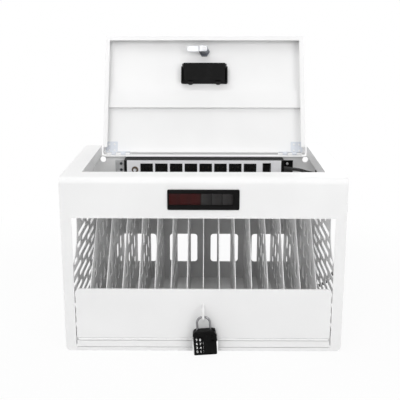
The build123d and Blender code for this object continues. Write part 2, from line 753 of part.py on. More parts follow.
with BuildPart() as power_strip_brackets:
    for side in (-1, 1):
        edge = side * strip_half
        block(edge, edge + side * ear_width, rear_in - sheet, rear_in, strip_low + 22, strip_top - 8)
        block(edge, edge + side * sheet, rear_in - 20, rear_in, strip_low + 22, strip_low + 42)
save(power_strip_brackets.part, "power_strip_brackets")

with BuildPart() as power_strip_screws:
    for side in (-1, 1):
        for z in (strip_top - 17, strip_top - 33):
            rod((side * (strip_half + ear_width / 2 - 1), rear_in - sheet, z), (0, -1, 0), screw_head_r, 2.4)
save(power_strip_screws.part, "power_strip_screws")

# Supply cord: strain relief, free run out through the side panel, coil and plug
with BuildPart() as cord_gland:
    with BuildSketch(Plane(origin=(strip_half, gland_y, gland_z), z_dir=(1, 0, 0))):
        Circle(8)
    with BuildSketch(Plane(origin=(strip_half + gland_length, gland_y, gland_z), z_dir=(1, 0, 0))):
        Circle(cord_r + 1.2)
    loft()
    rod((strip_half - 6, gland_y, gland_z), (1, 0, 0), 5.2, 6.5)
save(cord_gland.part, "cord_gland")

with BuildPart() as cord_grommet:
    rod((panel_half - sheet - 2, grommet_y, grommet_z), (1, 0, 0), 11, 2)
    rod((panel_half, grommet_y, grommet_z), (1, 0, 0), 11, 2)
    rod((panel_half - sheet - 1, grommet_y, grommet_z), (1, 0, 0), 8, 3)
    rod((panel_half - 8, grommet_y, grommet_z), (1, 0, 0), cord_r + 2, 16, mode=Mode.SUBTRACT)
save(cord_grommet.part, "cord_grommet")

coil_x, coil_y = coil_centre
coil_lead = 2 * cord_r
coil_entry = (coil_x + coil_lead, coil_y - coil_outer, cord_r)
cord_route = [
    (strip_half + gland_length, gland_y, gland_z),
    (236, gland_y, gland_z),
    (256, 157, gland_z - 6.5),
    (280, grommet_y, grommet_z + 1),
    (306, 157, grommet_z - 7),
    (333, 160, 296),
    (347, 163, 260),
    (348, 166, 208),
    (349, 168, 150),
    (348, 172, 97),
    (343, 178, 52),
    (324, 186, 18),
    (294, 192, cord_r),
    (264, coil_entry[1], cord_r),
    coil_entry,
]


def route_radii(points):
    """The arc at each corner: 0.45 of the shorter run over the tangent of half the turn."""
    radii = []
    for before, here, after in zip(points, points[1:], points[2:]):
        run_in = Vector(*here) - Vector(*before)
        run_out = Vector(*after) - Vector(*here)
        turn = math.radians(run_in.get_angle(run_out))
        radii.append(0.45 * min(run_in.length, run_out.length) / math.tan(turn / 2))
    return radii


cord_radii = route_radii(cord_route)
with BuildPart() as supply_cord:
    with BuildLine() as cord_path:
        FilletPolyline(*cord_route, radius=cord_radii)
    with BuildSketch(Plane(origin=cord_route[0], z_dir=cord_path.line % 0)):
        Circle(cord_r)
    sweep(path=cord_path.line)
save(supply_cord.part, "supply_cord")
cord_length = sum(edge.length for edge in cord_path.edges())
cord_volume = math.pi * cord_r ** 2 * cord_length
print("cord length", round(cord_length, 1), "volume ratio", round(supply_cord.part.volume / cord_volume, 4))
print("cord radii", [round(radius) for radius in cord_radii])

# Coil: two layers that spiral in and out again, with the climb where the spiral reverses
coil_turning = round(4 * coil_turns) + 1
coil_quarters = 2 * coil_turning + 1


def coil_point(quarter):
    """A point on the coil's centre line, counted in quarter turns from its start."""
    angle = -math.pi / 2 - quarter * math.pi / 2
    inward = min(quarter, 2 * coil_turning - quarter) / 4
    climb = min(max((quarter - coil_turning + 1) / 2, 0), 1)
    reach = coil_outer - coil_step * inward
    z = cord_r + coil_step * (1 - math.cos(math.pi * climb)) / 2
    return Vector(coil_x + reach * math.cos(angle), coil_y + reach * math.sin(angle), z)


def coil_tangent(quarter):
    """The direction of the coil's centre line there; both ends leave square."""
    if quarter == 0:
        return Vector(-1, 0, 0)
    if quarter == coil_quarters:
        return Vector(0, 1, 0)
    return (coil_point(quarter + 0.02) - coil_point(quarter - 0.02)).normalized()


def biarc(start, start_way, end, end_way):
    """Two arcs that join two points and are tangent to both directions."""
    chord = end - start
    ways = start_way + end_way
    spread = 2 * (1 - start_way.dot(end_way))
    reach = (math.sqrt(chord.dot(ways) ** 2 + spread * chord.dot(chord)) - chord.dot(ways)) / spread
    near = start + start_way * reach
    far = end - end_way * reach
    middle = (near + far) * 0.5
    TangentArc(start, middle, tangent=start_way)
    TangentArc(middle, end, tangent=(far - near).normalized())


with BuildPart() as cord_coil:
    coil_end = coil_point(coil_quarters)
    with BuildLine() as coil_path:
        Line(coil_entry, coil_point(0))
        for quarter in range(coil_quarters):
            biarc(coil_point(quarter), coil_tangent(quarter), coil_point(quarter + 1), coil_tangent(quarter + 1))
        Line(coil_end, coil_end + Vector(0, coil_tail, 0))
    with BuildSketch(Plane(origin=coil_entry, z_dir=(-1, 0, 0))):
        Circle(cord_r)
    sweep(path=coil_path.line)
save(cord_coil.part, "cord_coil")
coil_length = sum(edge.length for edge in coil_path.edges())
samples = [coil_point(count / 10) for count in range(10 * coil_quarters + 1)]
gaps = [(a - b).length for i, a in enumerate(samples) for b in samples[i + 20:]]
print("coil length", round(coil_length, 1), "least gap", round(min(gaps) - 2 * cord_r, 2))
print("coil volume ratio", round(cord_coil.part.volume / (math.pi * cord_r ** 2 * coil_length), 4))

# Plug on the end of the coil
plug_y = coil_y + coil_tail
plug_z = coil_end.Z
with BuildPart() as plug_body:
    for y, half_width, half_height in ((plug_y, 8, 8), (plug_y + 20, 15, plug_z), (plug_y + plug_length, 17, plug_z)):
        with BuildSketch(Plane(origin=(coil_end.X, y, plug_z), x_dir=(1, 0, 0), z_dir=(0, 1, 0))):
            RectangleRounded(2 * half_width, 2 * half_height, 5)
    loft(ruled=True)
save(plug_body.part, "plug_body")

with BuildPart() as plug_pins:
    for x in (-6.3, 6.3):
        block(coil_end.X + x - 0.8, coil_end.X + x + 0.8, plug_y + plug_length, plug_y + plug_length + 17,
              plug_z, plug_z + 6.4)
    rod((coil_end.X, plug_y + plug_length, plug_z - 6), (0, 1, 0), 2.4, 19)
save(plug_pins.part, "plug_pins")
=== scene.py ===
"""Laptop charging cabinet, dressed for a studio picture: powder coated sheet steel, black mouldings,
zinc lock parts, a numbered padlock, the outlets' contacts and the supply cord at its full length.

Everything is in metres, in the cabinet's own frame: +Z up, the front faces -Y."""

import json
import math

import bmesh
import bpy
from mathutils import Matrix, Vector


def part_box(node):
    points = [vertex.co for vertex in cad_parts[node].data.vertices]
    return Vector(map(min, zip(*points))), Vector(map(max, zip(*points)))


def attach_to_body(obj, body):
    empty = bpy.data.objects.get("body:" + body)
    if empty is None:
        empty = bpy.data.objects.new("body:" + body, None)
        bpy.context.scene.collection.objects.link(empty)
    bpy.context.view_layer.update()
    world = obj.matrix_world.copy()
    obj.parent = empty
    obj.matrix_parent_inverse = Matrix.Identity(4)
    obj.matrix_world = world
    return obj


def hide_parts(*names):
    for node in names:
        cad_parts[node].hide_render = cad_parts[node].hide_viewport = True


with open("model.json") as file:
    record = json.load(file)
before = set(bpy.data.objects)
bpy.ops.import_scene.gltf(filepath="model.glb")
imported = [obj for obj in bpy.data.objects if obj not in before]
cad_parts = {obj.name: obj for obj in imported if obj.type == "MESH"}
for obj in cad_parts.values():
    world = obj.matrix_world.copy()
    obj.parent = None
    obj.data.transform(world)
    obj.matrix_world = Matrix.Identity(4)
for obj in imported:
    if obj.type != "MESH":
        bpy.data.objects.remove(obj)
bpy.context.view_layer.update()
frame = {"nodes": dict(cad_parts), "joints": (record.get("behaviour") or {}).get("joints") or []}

bl_info = {
    "name": "Laptop charging cabinet",
    "version": (1, 0, 0),
    "blender": (4, 5, 0),
    "location": "View3D > Sidebar > Cabinet",
    "description": "Finishes and small parts of a bench-top laptop charging cabinet",
    "category": "Object",
}

MM = 0.001

# How far the lid stands open and the padlock hangs askew at rest
LID_OPEN = math.radians(114)
PADLOCK_LEAN = math.radians(4)

# Turns that point a screw or rivet head, drawn upright, to the back or to the front
BACKWARDS = (-math.pi / 2, 0, 0)
FORWARDS = (math.pi / 2, 0, 0)


def joint(name):
    """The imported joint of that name."""
    return next(entry for entry in frame["joints"] if entry["name"] == name)


def span(node):
    """A node's lowest and highest corner as vectors."""
    low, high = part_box(node)
    return Vector(low), Vector(high)


class Value:
    """A number, vector or colour from a socket; arithmetic on it adds Math nodes."""

    def __init__(self, graph, socket):
        self.graph = graph
        self.socket = socket

    def math(self, operation, first, second=None):
        inputs = {0: first}
        if second is not None:
            inputs[1] = second
        return self.graph.add("ShaderNodeMath", {"operation": operation}, inputs)

    def __add__(self, other):
        return self.math("ADD", self, other)

    def __radd__(self, other):
        return self.math("ADD", other, self)

    def __sub__(self, other):
        return self.math("SUBTRACT", self, other)

    def __rsub__(self, other):
        return self.math("SUBTRACT", other, self)

    def __mul__(self, other):
        return self.math("MULTIPLY", self, other)

    def __rmul__(self, other):
        return self.math("MULTIPLY", other, self)

    def smooth(self, low, high):
        """Rises smoothly from 0 at low to 1 at high."""
        return self.graph.add("ShaderNodeMapRange", {"interpolation_type": "SMOOTHSTEP"},
                              {"Value": self, "From Min": low, "From Max": high})

    def wave(self, length):
        """A sine of that wave length, from 0 to 1."""
        return self.math("SINE", self * (2 * math.pi / length)) * 0.5 + 0.5


class Graph:
    """A new material and the nodes that are added to it."""

    def __init__(self, name):
        self.material = bpy.data.materials.new(name)
        self.material.use_nodes = True
        self.nodes = self.material.node_tree.nodes
        self.links = self.material.node_tree.links
        self.shader = self.nodes["Principled BSDF"]
        self.place = self.add("ShaderNodeTexCoord", {}, {}, "Object")

    def put(self, socket, value):
        if isinstance(value, Value):
            self.links.new(value.socket, socket)
        else:
            socket.default_value = value

    def add(self, kind, settings, inputs, output=0):
        """Adds a node, sets its settings, then its inputs, and returns one output."""
        node = self.nodes.new(kind)
        for key, value in settings.items():
            setattr(node, key, value)
        for key, value in inputs.items():
            self.put(node.inputs[key], value)
        return Value(self, node.outputs[output])

    def noise(self, size, detail=2.0, place=None):
        """Noise whose features are about size metres across."""
        return self.add("ShaderNodeTexNoise", {}, {"Vector": place or self.place, "Scale": 1 / size,
                                                   "Detail": detail})

    def stretched(self, x, y, z):
        """Object coordinates scaled on each axis."""
        return self.add("ShaderNodeMapping", {}, {"Vector": self.place, "Scale": (x, y, z)})

    def axis(self, name):
        return self.add("ShaderNodeSeparateXYZ", {}, {"Vector": self.place}, name)

    def mix(self, factor, first, second):
        """A colour between two; the node keeps its colour sockets at 6 and 7, and its result at 2."""
        return self.add("ShaderNodeMix", {"data_type": "RGBA"}, {0: factor, 6: first, 7: second}, 2)

    def bump(self, height, strength, distance):
        return self.add("ShaderNodeBump", {}, {"Height": height, "Strength": strength, "Distance": distance})

    def finish(self, **sockets):
        """Sets the shader's sockets, named with underscores for spaces."""
        for key, value in sockets.items():
            self.put(self.shader.inputs[key.replace("_", " ")], value)
        return self.material


def colour_of(values, shade=1.0):
    """An opaque colour from three numbers, darkened by shade."""
    return (values[0] * shade, values[1] * shade, values[2] * shade, 1.0)


def powder_coat(name, colour, grain=0.0011, depth=0.00006):
    """Satin powder coat: a fine orange peel, faint clouding and slightly uneven gloss."""
    g = Graph(name)
    peel = g.noise(grain, 3.0)
    cloud = g.noise(0.16, 2.0).smooth(0.3, 0.7)
    tint = g.mix(cloud, colour_of(colour), colour_of(colour, 0.965))
    return g.finish(Base_Color=tint, Roughness=peel * 0.12 + cloud * 0.05 + 0.38, Metallic=0.0,
                    Normal=g.bump(peel, 0.35, depth), Specular_IOR_Level=0.45, Coat_Weight=0.12,
                    Coat_Roughness=0.3)


def plated_metal(name, colour, roughness, brush):
    """Plated or brushed metal, with fine draw lines along one axis and faint stains."""
    g = Graph(name)
    lines = g.noise(0.0006, 4.0, g.stretched(*brush))
    stain = g.noise(0.012, 3.0).smooth(0.35, 0.7)
    tint = g.mix(stain, colour_of(colour), colour_of(colour, 0.82))
    return g.finish(Base_Color=tint, Metallic=1.0, Roughness=lines * 0.16 + stain * 0.08 + roughness,
                    Normal=g.bump(lines, 0.25, 0.00004))


def moulded_plastic(name, colour, roughness, grain=0.0007, depth=0.00008):
    """Moulded plastic with a spark-eroded grain and slight wear in its gloss."""
    g = Graph(name)
    speckle = g.noise(grain, 2.0)
    wear = g.noise(0.02, 3.0).smooth(0.45, 0.75)
    tint = g.mix(wear, colour_of(colour), colour_of([c * 1.25 + 0.002 for c in colour]))
    return g.finish(Base_Color=tint, Roughness=speckle * 0.14 + wear * 0.06 + roughness,
                    Specular_IOR_Level=0.08, Normal=g.bump(speckle, 0.25, depth))


def rubber_jacket(name, colour):
    """Soft cord jacket: a matt skin with a faint bloom."""
    g = Graph(name)
    skin = g.noise(0.0012, 3.0)
    bloom = g.noise(0.03, 2.0).smooth(0.4, 0.8)
    tint = g.mix(bloom, colour_of(colour), colour_of([c + 0.02 for c in colour]))
    return g.finish(Base_Color=tint, Roughness=skin * 0.1 + 0.5, Normal=g.bump(skin, 0.3, 0.00005))


def smoked_acrylic(name, colour):
    """Smoked clear acrylic: mostly see-through, with a clean gloss."""
    g = Graph(name)
    smear = g.noise(0.03, 3.0).smooth(0.4, 0.8)
    return g.finish(Base_Color=colour_of(colour), Roughness=smear * 0.05 + 0.06, Alpha=0.3, IOR=1.49,
                    Specular_IOR_Level=0.12)


def lens_plastic(name, colour, start, pitch, rib=0.0016):
    """Ribbed lamp lenses: fine upright prisms with painted shade of their facets: each cell fades from bright
    at its left edge to dark at its right, and the ribs are painted as light and dark stripes over a random
    cloud.
    """
    g = Graph(name)
    across = (g.axis("X") - start) * (1 / pitch)
    place = across - across.math("FLOOR", across)
    ribs = g.axis("X").wave(rib)
    cloud = g.noise(0.008, 2.0)
    # Painted shade: a light-to-dark ramp across each cell and light and dark rib stripes, plus a random cloud
    # in the tone
    painted_shade_and_cloud = place * 0.75 + ribs * 0.12 + cloud * 0.15
    tint = g.mix(painted_shade_and_cloud, colour_of(colour, 1.3), colour_of(colour, 0.55))
    return g.finish(Base_Color=tint, Roughness=0.3, Normal=g.bump(ribs, 0.4, 0.0002), Specular_IOR_Level=0.25)


def ink(name, colour):
    """Printed or filled marking."""
    g = Graph(name)
    speck = g.noise(0.0005, 2.0)
    return g.finish(Base_Color=g.mix(speck, colour_of(colour), colour_of(colour, 0.93)),
                    Roughness=speck * 0.1 + 0.45)


class FinishColours(bpy.types.PropertyGroup):
    """Colours and gloss of the cabinet's finishes."""

    coat: bpy.props.FloatVectorProperty(name="Powder coat", description="Colour of the painted sheet",
                                        subtype="COLOR", size=3, min=0, max=1, default=(0.86, 0.86, 0.86))
    black: bpy.props.FloatVectorProperty(name="Black parts", description="Colour of the black mouldings",
                                         subtype="COLOR", size=3, min=0, max=1, default=(0.004, 0.004, 0.004))
    zinc: bpy.props.FloatVectorProperty(name="Zinc", description="Colour of the plated lock parts",
                                        subtype="COLOR", size=3, min=0, max=1, default=(0.66, 0.67, 0.69))
    red: bpy.props.FloatVectorProperty(name="Red cells", description="Colour of the red indicator cells",
                                       subtype="COLOR", size=3, min=0, max=1, default=(0.14, 0.010, 0.009))
    grey: bpy.props.FloatVectorProperty(name="Grey cells", description="Colour of the grey indicator cells",
                                        subtype="COLOR", size=3, min=0, max=1, default=(0.10, 0.10, 0.10))


class CordSizes(bpy.types.PropertyGroup):
    """Sizes of the supply cord."""

    radius: bpy.props.FloatProperty(name="Radius", description="Radius of the cord's jacket", unit="LENGTH",
                                    min=0.001, default=0.004)
    coil_radius: bpy.props.FloatProperty(name="Coil radius", description="Radius of the outer turn",
                                         unit="LENGTH", min=0.02, default=0.056)
    coil_step: bpy.props.FloatProperty(name="Coil step", description="Distance from turn to turn",
                                       unit="LENGTH", min=0.005, default=0.0086)


class StageSizes(bpy.types.PropertyGroup):
    """The camera and the light."""

    distance: bpy.props.FloatProperty(name="Distance", description="From the camera to the cabinet's front",
                                      unit="LENGTH", default=1.512)
    rise: bpy.props.FloatProperty(name="Rise", description="Height of the camera above the table",
                                  unit="LENGTH", default=0.732)
    pitch: bpy.props.FloatProperty(name="Pitch", description="How far the camera looks down",
                                   subtype="ANGLE", default=math.radians(14.5))
    across: bpy.props.FloatProperty(name="Across", description="Place of the camera to the right",
                                    unit="LENGTH", default=0.007)
    yaw: bpy.props.FloatProperty(name="Yaw", description="How far the camera turns left", subtype="ANGLE",
                                 default=math.radians(0.53))
    lens: bpy.props.FloatProperty(name="Lens", description="Focal length on a 36 mm sensor", default=67.7,
                                  min=10)


def settings(group):
    """The scene's property group of that name."""
    return getattr(bpy.context.scene, group)


def mesh_object(name, vertices, faces, material, smooth=False):
    """A new mesh object at the origin with one material."""
    mesh = bpy.data.meshes.new(name)
    mesh.from_pydata([tuple(v) for v in vertices], [], faces)
    mesh.update()
    made = bpy.data.objects.new(name, mesh)
    bpy.context.scene.collection.objects.link(made)
    mesh.materials.append(material)
    for polygon in mesh.polygons:
        polygon.use_smooth = smooth
    return made


def mesh_from(name, shell, material):
    """A new mesh object from a finished bmesh, which is freed."""
    made = mesh_object(name, [], [], material)
    shell.to_mesh(made.data)
    shell.free()
    return made


def evaluated(name, source):
    """A plain mesh object of what an object looks like with its modifiers."""
    graph = bpy.context.evaluated_depsgraph_get()
    made = bpy.data.objects.new(name, bpy.data.meshes.new_from_object(source.evaluated_get(graph)))
    bpy.context.scene.collection.objects.link(made)
    return made


def attach(made, body, slot, *replaced):
    """Lets a finished piece ride on its body and hides the nodes that it stands for; the slot is not used."""
    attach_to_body(made, body)
    if replaced:
        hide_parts(*replaced)
    return made


def ring_solid(name, profile, sides, place, material, smooth=True):
    """A turned solid: profile is (radius, height) pairs about local Z, placed by a matrix."""
    vertices = []
    for radius, height in profile:
        for side in range(sides):
            angle = 2 * math.pi * side / sides
            vertices.append(place @ Vector((radius * math.cos(angle), radius * math.sin(angle), height)))
    faces = []
    for level in range(len(profile) - 1):
        for side in range(sides):
            following = (side + 1) % sides
            faces.append((level * sides + side, level * sides + following,
                          (level + 1) * sides + following, (level + 1) * sides + side))
    top = (len(profile) - 1) * sides
    faces.append(tuple(reversed(range(sides))))
    faces.append(tuple(range(top, top + sides)))
    return mesh_object(name, vertices, faces, material, smooth)


def frame_matrix(origin, up, across=None):
    """A matrix whose local Z points along up and whose local X leans towards across."""
    up = Vector(up).normalized()
    across = Vector(across) if across else (Vector((1, 0, 0)) if abs(up.x) < 0.9 else Vector((0, 1, 0)))
    x = (across - up * across.dot(up)).normalized()
    y = up.cross(x)
    turned = Matrix((x, y, up)).transposed().to_4x4()
    turned.translation = Vector(origin)
    return turned


def with_lid(point):
    """Where a point drawn on the closed lid, in millimetres, stands on the open lid at rest."""
    pivot = Vector(joint("lid_hinge")["pos_m"])
    return pivot + Matrix.Rotation(-LID_OPEN, 3, "X") @ (Vector(point) * MM - pivot)


def joined(name, parts, material, width=0.0, smooth=False):
    """One object from several (vertices, faces) shells, with its edges bevelled by width."""
    made = bmesh.new()
    for vertices, faces in parts:
        corners = [made.verts.new(v) for v in vertices]
        for face in faces:
            made.faces.new([corners[i] for i in face])
    bmesh.ops.recalc_face_normals(made, faces=made.faces)
    if width:
        bmesh.ops.bevel(made, geom=list(made.edges), offset=width, segments=2, profile=0.6, affect="EDGES",
                        clamp_overlap=True)
    result = mesh_from(name, made, material)
    for polygon in result.data.polygons:
        polygon.use_smooth = smooth
    return result


def slab(x0, x1, y0, y1, z0, z1, place=None):
    """Vertices and faces of a slab between two corners in millimetres, moved by place if it is given."""
    corners = [Vector((x, y, z)) for z in (z0, z1) for x, y in ((x0, y0), (x1, y0), (x1, y1), (x0, y1))]
    vertices = [place(corner) if place else corner * MM for corner in corners]
    return vertices, [(0, 3, 2, 1), (4, 5, 6, 7), (0, 1, 5, 4), (1, 2, 6, 5), (2, 3, 7, 6), (3, 0, 4, 7)]


def frame_slabs(x, z, half_wide, half_tall, bar_wide, bar_tall, y0, y1):
    """Four slabs round an upright rectangle that is centred on x and z."""
    left, right = x - half_wide, x + half_wide
    low, high = z - half_tall, z + half_tall
    return [slab(left, left + bar_wide, y0, y1, low, high), slab(right - bar_wide, right, y0, y1, low, high),
            slab(left, right, y0, y1, high - bar_tall, high), slab(left, right, y0, y1, low, low + bar_tall)]


def in_metres(profile):
    """A profile in millimetres as metres."""
    return [(radius * MM, height * MM) for radius, height in profile]


def lofted(name, rings, material, smooth=True):
    """A closed skin over rings of points that all have the same count."""
    count = len(rings[0])
    faces = []
    for level in range(len(rings) - 1):
        for i in range(count):
            after = (i + 1) % count
            faces.append((level * count + i, level * count + after,
                          (level + 1) * count + after, (level + 1) * count + i))
    faces.append(tuple(reversed(range(count))))
    faces.append(tuple(range((len(rings) - 1) * count, len(rings) * count)))
    made = joined(name, [([p for ring in rings for p in ring], faces)], material, 0.0, smooth)
    made.data.polygons[-1].use_smooth = False
    made.data.polygons[-2].use_smooth = False
    return made


def pan_head(name, radius, height, material, recess=True):
    """A domed screw or rivet head that stands on z = 0, with a cross recess in a screw's."""
    dome = [(1, 0), (1, 0.35), (0.9, 0.72), (0.66, 0.93), (0.3, 1)]
    head = ring_solid(name, [(radius * r, height * h) for r, h in dome], 20, Matrix.Identity(4), material)
    if not recess:
        return head
    arm = radius * 0.62 / MM
    wide = radius * 0.16 / MM
    floor = height * 0.45 / MM
    top = height * 1.2 / MM
    bars = [slab(-arm, arm, -wide, wide, floor, top), slab(-wide, wide, -arm, arm, floor, top)]
    cutters = [joined(f"{name}_bar", [bar], material) for bar in bars]
    for number, cutter in enumerate(cutters):
        cut = head.modifiers.new(f"Cross {number}", "BOOLEAN")
        cut.operation = "DIFFERENCE"
        cut.solver = "EXACT"
        cut.object = cutter
    result = evaluated(name, head)
    for spent in (head, *cutters):
        bpy.data.objects.remove(spent)
    return result


def give(node, material):
    """Gives a carried-over node its finish."""
    slots = frame["nodes"][node].data.materials
    slots.clear()
    slots.append(material)


def socket_tree(name, inputs):
    """A new geometry tree with a geometry input and output and the named inputs."""
    tree = bpy.data.node_groups.new(name, "GeometryNodeTree")
    tree.interface.new_socket("Geometry", in_out="INPUT", socket_type="NodeSocketGeometry")
    for label, kind, value in inputs:
        made = tree.interface.new_socket(label, in_out="INPUT", socket_type=kind)
        if value is not None:
            made.default_value = value
    tree.interface.new_socket("Geometry", in_out="OUTPUT", socket_type="NodeSocketGeometry")
    return tree


def scatter_tree(name):
    """Copies a small object onto each point of the mesh, turned by a fixed rotation."""
    tree = socket_tree(name, [("Copy", "NodeSocketObject", None), ("Turn", "NodeSocketVector", (0, 0, 0)),
                              ("Size", "NodeSocketFloat", 1.0), ("Finish", "NodeSocketMaterial", None)])
    nodes, links = tree.nodes, tree.links
    source = nodes.new("NodeGroupInput")
    drain = nodes.new("NodeGroupOutput")
    points = nodes.new("GeometryNodeMeshToPoints")
    info = nodes.new("GeometryNodeObjectInfo")
    instance = nodes.new("GeometryNodeInstanceOnPoints")
    turn = nodes.new("FunctionNodeEulerToRotation")
    real = nodes.new("GeometryNodeRealizeInstances")
    finish = nodes.new("GeometryNodeSetMaterial")
    links.new(source.outputs["Geometry"], points.inputs["Mesh"])
    links.new(source.outputs["Copy"], info.inputs["Object"])
    links.new(source.outputs["Turn"], turn.inputs[0])
    links.new(points.outputs["Points"], instance.inputs["Points"])
    links.new(info.outputs["Geometry"], instance.inputs["Instance"])
    links.new(turn.outputs[0], instance.inputs["Rotation"])
    links.new(source.outputs["Size"], instance.inputs["Scale"])
    links.new(instance.outputs["Instances"], real.inputs["Geometry"])
    links.new(real.outputs["Geometry"], finish.inputs["Geometry"])
    links.new(source.outputs["Finish"], finish.inputs["Material"])
    links.new(finish.outputs["Geometry"], drain.inputs["Geometry"])
    return tree


def scattered(name, points, copy, turn, material, body, slot, *replaced):
    """A plain mesh of copies at the given points, made by the scatter tree and attached to one body."""
    holder = mesh_object(f"{name}_points", points, [], material)
    tree = scatter_tree(f"{name}_tree")
    modifier = holder.modifiers.new("Copies", "NODES")
    modifier.node_group = tree
    values = {"Copy": copy, "Turn": turn, "Size": 1.0, "Finish": material}
    for item in tree.interface.items_tree:
        if item.item_type == "SOCKET" and item.in_out == "INPUT" and item.name in values:
            modifier[item.identifier] = values[item.name]
    made = evaluated(name, holder)
    made.data.materials.clear()
    made.data.materials.append(material)
    bpy.data.objects.remove(holder)
    bpy.data.objects.remove(copy)
    return attach(made, body, slot, *replaced)


class CABINET_OT_sheet(bpy.types.Operator):
    """Powder coat on every folded sheet and its hinges"""

    bl_idname = "cabinet.sheet"
    bl_label = "Sheet steel"

    def execute(self, context):
        colours = settings("cabinet_colours")
        coat = powder_coat("white_powder_coat", list(colours.coat))
        hinge = powder_coat("painted_hinge", [c * 0.97 for c in colours.coat], 0.0008, 0.00004)
        sheets = ["outer_frame", "side_panel_left", "side_panel_right", "rear_panel", "floor_pan",
                  "flap_panel", "staple", "lid_tray", "lid_stiffener"]
        sheets += [name for name in frame["nodes"] if name.startswith("partition_")]
        for name in sheets:
            give(name, coat)
        for name in ("flap_hinge_leaf_base", "flap_hinge_leaf_door", "lid_hinge_leaves_body"):
            give(name, hinge)
        # The lid's hinge leaves are painted a darker blue-grey than the other hinges: painted shade for the
        # shadows that fall on them
        give("lid_hinge_leaves_lid", powder_coat("lid_hinge_painted_shade", [0.68, 0.71, 0.76], 0.0008, 0.00004))
        self.rivets(hinge)
        return {"FINISHED"}

    def rivets(self, material):
        """Domed rivets on the rear panel's foot, on both halves of the lid hinges and behind the flap."""
        rear = span("rear_panel")[1].y
        foot = [(x * MM, rear, 17 * MM) for x in range(-240, 241, 80)]
        plate_y = rear + 1.5 * MM
        plate_z = span("lid_hinge_leaves_body")[0].z + 7 * MM
        back = [(side * x * MM, plate_y, plate_z) for side in (-1, 1) for x in (198, 218, 238)]
        head = pan_head("rivet_head", 2.9 * MM, 1.1 * MM, material, recess=False)
        scattered("rear_rivets", foot + back, head, BACKWARDS, material, "cabinet", "painted_hinge")
        head = pan_head("rivet_head", 2.6 * MM, 0.9 * MM, material, recess=False)
        plates = [with_lid((side * x, y, 385)) for side in (-1, 1) for x in (231, 245) for y in (159, 175)]
        turn = Matrix.Rotation(math.pi - LID_OPEN, 3, "X").to_euler()
        scattered("lid_hinge_rivets", plates, head, tuple(turn), material, "lid", "painted_hinge")
        head = pan_head("rivet_head", 2.2 * MM, 0.9 * MM, material, recess=False)
        strip_y = span("flap_panel")[0].y + 2.3 * MM
        strip_z = span("flap_hinge_leaf_door")[1].z - 6 * MM
        strip = [(x * MM, strip_y, strip_z) for x in range(-252, 253, 42)]
        scattered("flap_rivets", strip, head, BACKWARDS, material, "flap", "painted_hinge")


class CABINET_OT_metal(bpy.types.Operator):
    """Plated and bright metal parts"""

    bl_idname = "cabinet.metal"
    bl_label = "Metal parts"

    def execute(self, context):
        colours = settings("cabinet_colours")
        zinc = plated_metal("zinc_plate", list(colours.zinc), 0.22, (1, 1, 8))
        steel = plated_metal("bright_steel", [0.62, 0.62, 0.63], 0.25, (0.2, 4, 4))
        dark = plated_metal("lock_nut_zinc", [0.16, 0.17, 0.19], 0.3, (1, 1, 8))
        for name in ("lid_lock_plug", "lid_lock_cam", "breaker_button"):
            give(name, zinc)
        for name in ("lid_lock_barrel", "lid_lock_nut"):
            give(name, dark)
        for name in ("hinge_pins", "power_strip_screws", "plug_pins", "lid_lock_screw"):
            give(name, steel)
        return {"FINISHED"}


class CABINET_OT_padlock(bpy.types.Operator):
    """The padlock's finishes and the numbers on its dials"""

    bl_idname = "cabinet.padlock"
    bl_label = "Padlock"

    def execute(self, context):
        black = list(settings("cabinet_colours").black)
        case = moulded_plastic("black_lock", black, 0.38, 0.0009)
        wheel = moulded_plastic("black_dial", black, 0.3, 0.0012, 0.00003)
        shackle = plated_metal("dark_chrome", [0.3, 0.3, 0.31], 0.14, (3, 3, 0.4))
        paint = ink("dial_white", [0.95, 0.95, 0.95])
        give("padlock_body", case)
        give("padlock_latch", case)
        give("padlock_shackle", shackle)
        for number in range(1, 5):
            give(f"padlock_dial_{number}", wheel)
            attach(dial_digits(number, paint), f"dial_{number}", "black_dial")
        self.trim(case, paint)
        return {"FINISHED"}

    def trim(self, case, paint):
        """The raised plate on the case's face, the lug on its shoulder and the reading mark by the dials."""
        pivot = Vector(joint("padlock_swing")["pos_m"])
        lean = Matrix.Rotation(-PADLOCK_LEAN, 3, "Y")
        face = (span("padlock_body")[0].y - pivot.y) / MM

        def placed(point):
            return pivot + lean @ point * MM

        plate = [slab(3.5, 23.2, face - 0.9, face + 0.4, -76, -50, placed),
                 slab(3.5, 12.5, face - 0.9, face + 0.4, -50, -31, placed),
                 slab(18.5, 23.8, -4.5, 4.5, -26.5, -23.6, placed),
                 slab(24.6, 26.6, -5, 5, -51, -37, placed)]
        attach(joined("padlock_trim", plate, case, 0.45 * MM), "padlock", "black_lock")
        mark = [slab(-24.4, -24.1, face - 0.06, face + 0.2, -76, -36, placed)]
        attach(joined("padlock_mark", mark, paint), "padlock", "black_dial")


